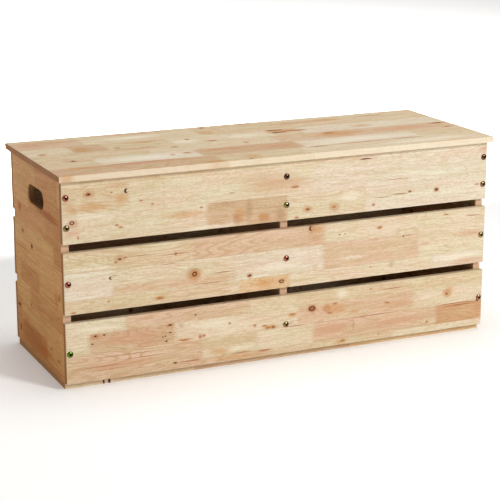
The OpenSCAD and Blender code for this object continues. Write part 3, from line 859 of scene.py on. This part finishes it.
def boltGrid(s):
    # profile turned about the axis, from the tip to the socket's floor: rows are (height, radius, 1 in the
    # socket, 1 on the thread). In the socket the circle is a hexagon, the flat's distance over the cosine
    # of the angle from it, and on the thread the radius falls and rises once in each pitch
    angle = np.arange(s["columns"]) / s["columns"] * 2 * math.pi
    sixth = math.pi / 3
    hexagon = s["socket"] / 2 / np.cos((angle + sixth / 2) % sixth - sixth / 2)
    threadEnd = -s["length"] + s["threadLength"]
    rows = [(-s["length"], 0.0, 0.0, 0.0), (-s["length"], s["shank"] - s["tip"], 0.0, 0.0)]
    turns = np.arange(-s["length"] + s["tip"], threadEnd, s["pitch"] / 5)
    rows += [(z, s["shank"], 0.0, 1.0) for z in turns]
    rows += [(threadEnd + 0.6, s["shank"], 0.0, 0.0), (-0.3, s["shank"], 0.0, 0.0)]
    rows += [(0.0, s["shank"] + s["fillet"], 0.0, 0.0), (0.0, s["headRadius"] - 0.25, 0.0, 0.0)]
    rows += [(0.08, s["headRadius"] - 0.07, 0.0, 0.0), (0.25, s["headRadius"], 0.0, 0.0)]
    cap = s["headHeight"] - s["rim"]
    ball = (s["headRadius"] ** 2 + cap ** 2) / (2 * cap)

    def dome(radius):
        return s["headHeight"] - ball + math.sqrt(ball ** 2 - radius ** 2)

    rows.append((s["rim"] - 0.15, s["headRadius"], 0.0, 0.0))
    rows += [(dome(r) - 0.02, r, 0.0, 0.0) for r in s["domeRadii"]]
    rows += [(dome(2.4) - 0.05, 2.35, 1.0, 0.0), (dome(2.3) - 0.35, 2.0, 1.0, 0.0)]
    floor = s["headHeight"] - s["socketDepth"]
    rows += [(floor + 0.05, 2.0, 1.0, 0.0), (floor, 1.9, 1.0, 0.0), (floor - 0.3, 0.0, 1.0, 0.0)]
    z, r, six, thread = (np.array(column)[:, None] for column in zip(*rows))
    wave = np.abs(((z / s["pitch"] - angle / (2 * math.pi)) % 1.0) - 0.5) * 2
    radius = r * np.where(six > 0, hexagon / (s["socket"] / 2), 1.0) - thread * s["threadDepth"] * wave
    return np.stack([radius * np.cos(angle), radius * np.sin(angle), z + 0 * angle], -1) * mm


# Zinc plated steel passivated in chromate: the film's thickness turns each head brown, gold, pink, olive
# or green. Cloud and marks are the sizes in mm of the film's patches and of the marks that tumbling leaves
filmColours = ((0.0, "#54302A"), (0.3, "#8A6E34"), (0.55, "#AE5A4C"), (0.78, "#848046"), (1.0, "#5A860A"))
platingSet = dict(cloud=4.0, cloudShare=0.25, marks=0.5, relief=0.03 * mm, smoother=0.08, rougher=0.12,
                  coat=0.35, coatRoughness=0.1)


def platedSteel(name, colours, roughness, film=None, paintedDarkSide=None):
    # the film attribute and the clouds, or the clouds alone, pick the colour
    s = platingSet
    material = newMaterial(name)
    tree = material.node_tree
    place = add(tree, "ShaderNodeTexCoord", {}).outputs["Object"]
    cloud = add(tree, "ShaderNodeTexNoise", {
        "Vector": place, "Scale": 1 / (s["cloud"] * mm), "Detail": 2.0})
    level = cloud.outputs[0]
    if film:
        base = add(tree, "ShaderNodeAttribute", {}, attribute_name=film)
        level = add(tree, "ShaderNodeMath", {0: level, 1: s["cloudShare"], 2: base.outputs["Fac"]},
                    operation="MULTIPLY_ADD").outputs[0]
        level = add(tree, "ShaderNodeMath", {0: level, 1: s["cloudShare"] / 2},
                    operation="SUBTRACT").outputs[0]
    choice = add(tree, "ShaderNodeValToRGB", {0: level})
    fillRamp(choice.color_ramp, [(spot, linear(text)) for spot, text in colours])
    colour = choice.outputs[0]
    if paintedDarkSide:
        # painted shade: the attribute darkens the heads' right flanks
        darkFlank = add(tree, "ShaderNodeAttribute", {}, attribute_name=paintedDarkSide)
        colour = mixed(tree, darkFlank.outputs["Fac"], colour, linear(paintedDarkSideSet["colour"]))
    marks = add(tree, "ShaderNodeTexNoise", {
        "Vector": place, "Scale": 1 / (s["marks"] * mm), "Detail": 3.0})
    rough = add(tree, "ShaderNodeMapRange", {
        "Value": marks.outputs[0], "To Min": roughness - s["smoother"], "To Max": roughness + s["rougher"]})
    bump = add(tree, "ShaderNodeBump", {
        "Height": marks.outputs[0], "Strength": 0.25, "Distance": s["relief"]})
    metal = add(tree, "ShaderNodeBsdfPrincipled", {
        "Base Color": colour, "Metallic": 1.0, "Roughness": rough.outputs[0], "Normal": bump.outputs[0],
        "Coat Weight": s["coat"] if film else 0.0, "Coat Roughness": s["coatRoughness"]})
    add(tree, "ShaderNodeOutputMaterial", {"Surface": metal.outputs[0]})
    return material


chromatedSteel = platedSteel("chromatedZincSteel", filmColours, 0.24, film="film", paintedDarkSide="paintedDarkSide")
# the hex sockets are painted near black: painted shade inside the recess
socketShadeSteel = platedSteel("socketSteelPaintedShade", ((0.3, "#17120E"), (0.7, "#2A221B")), 0.6)
plainSteel = platedSteel("clearZincSteel", ((0.36, "#9EA2A8"), (0.6, "#C4C6C9")), 0.36)

# Thickness of the film on each front bolt, column by column and upwards; the back ones are drawn at random
frontFilm = dict(top=(0.72, 0.55, 0.76, 0.04, 0.32, 0.08), middle=(0.55, 0.5, 0.74),
                 bottom=(1.0, 0.72, 0.64))
backFilm = np.random.default_rng(7)


def makeBolts(side, level):
    # the bolts of one slat as one piece, each turned a little differently about its own axis
    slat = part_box(f"{side}_{level}_slat")
    outward = -1.0 if side == "front" else 1.0
    face = slat[0][1] if side == "front" else slat[1][1]
    grid = boltGrid(boltSet)
    rows, columns = grid.shape[:2]
    spots = [(x, z) for x in boltColumns for z in boltRise[level]]
    film = frontFilm[level] if side == "front" else backFilm.uniform(0, 1, len(spots))
    points, faces, darkFlanked = [], [], []
    for count, (x, z) in enumerate(spots):
        spin = count * boltSet["turn"] + len(level)
        flatX = grid[..., 0] * math.cos(spin) - grid[..., 1] * math.sin(spin)
        flatZ = grid[..., 0] * math.sin(spin) + grid[..., 1] * math.cos(spin)
        placed = np.stack([x - outward * flatX, face + outward * grid[..., 2], slat[0][2] + z + flatZ], -1)
        # painted shade on each head's right flank grows in a smooth step from 0.6 mm left of the head's
        # middle to 3.9 mm right of it
        right = -outward * (placed[..., 0] - x) / mm
        spread = np.clip((right + paintedDarkSideSet["start"]) / paintedDarkSideSet["width"], 0, 1)
        darkFlanked.append((paintedDarkSideSet["strength"] * spread ** 2 * (3 - 2 * spread)).reshape(-1))
        points.append(placed.reshape(-1, 3))
        faces.append(stripFaces(placed, count * rows * columns))
    inSocket = np.repeat(np.arange(rows - 1) >= rows - boltSet["socketRows"], columns).astype(int)
    values = {"film": np.repeat(film, rows * columns), "paintedDarkSide": np.concatenate(darkFlanked)}
    mesh = solidMesh(f"{side}{level.title()}Bolts", points, faces, [inSocket] * len(spots), values)
    mesh.set_sharp_from_angle(angle=math.radians(40))
    mesh.materials.append(chromatedSteel)
    mesh.materials.append(socketShadeSteel)
    addPiece(mesh, f"{side}_{level}_bolts", "box")


for side in ("front", "back"):
    for level in ("bottom", "middle", "top"):
        makeBolts(side, level)
print("bolts made")


def finishNode(node, material):
    # hidden hardware keeps its CAD mesh and takes a finish
    piece = bpy.data.objects[node]
    piece.data.materials.clear()
    piece.data.materials.append(material)


dowelLayout = dict(rows=[0], staves=[[(0, "sand")]])
for side in ("left", "centre", "right"):
    finishNode(f"{side}_barrel_nuts", plainSteel)
    finishNode(f"{side}_base_screws", plainSteel)
    node = f"{side}_base_dowels"
    finishNode(node, woodMaterial(f"{side}DowelBeech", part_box(node), "Z", "Y", dowelLayout))
for side in ("left", "right"):
    finishNode(f"{side}_cleat_screws", plainSteel)
print("hidden hardware finished")
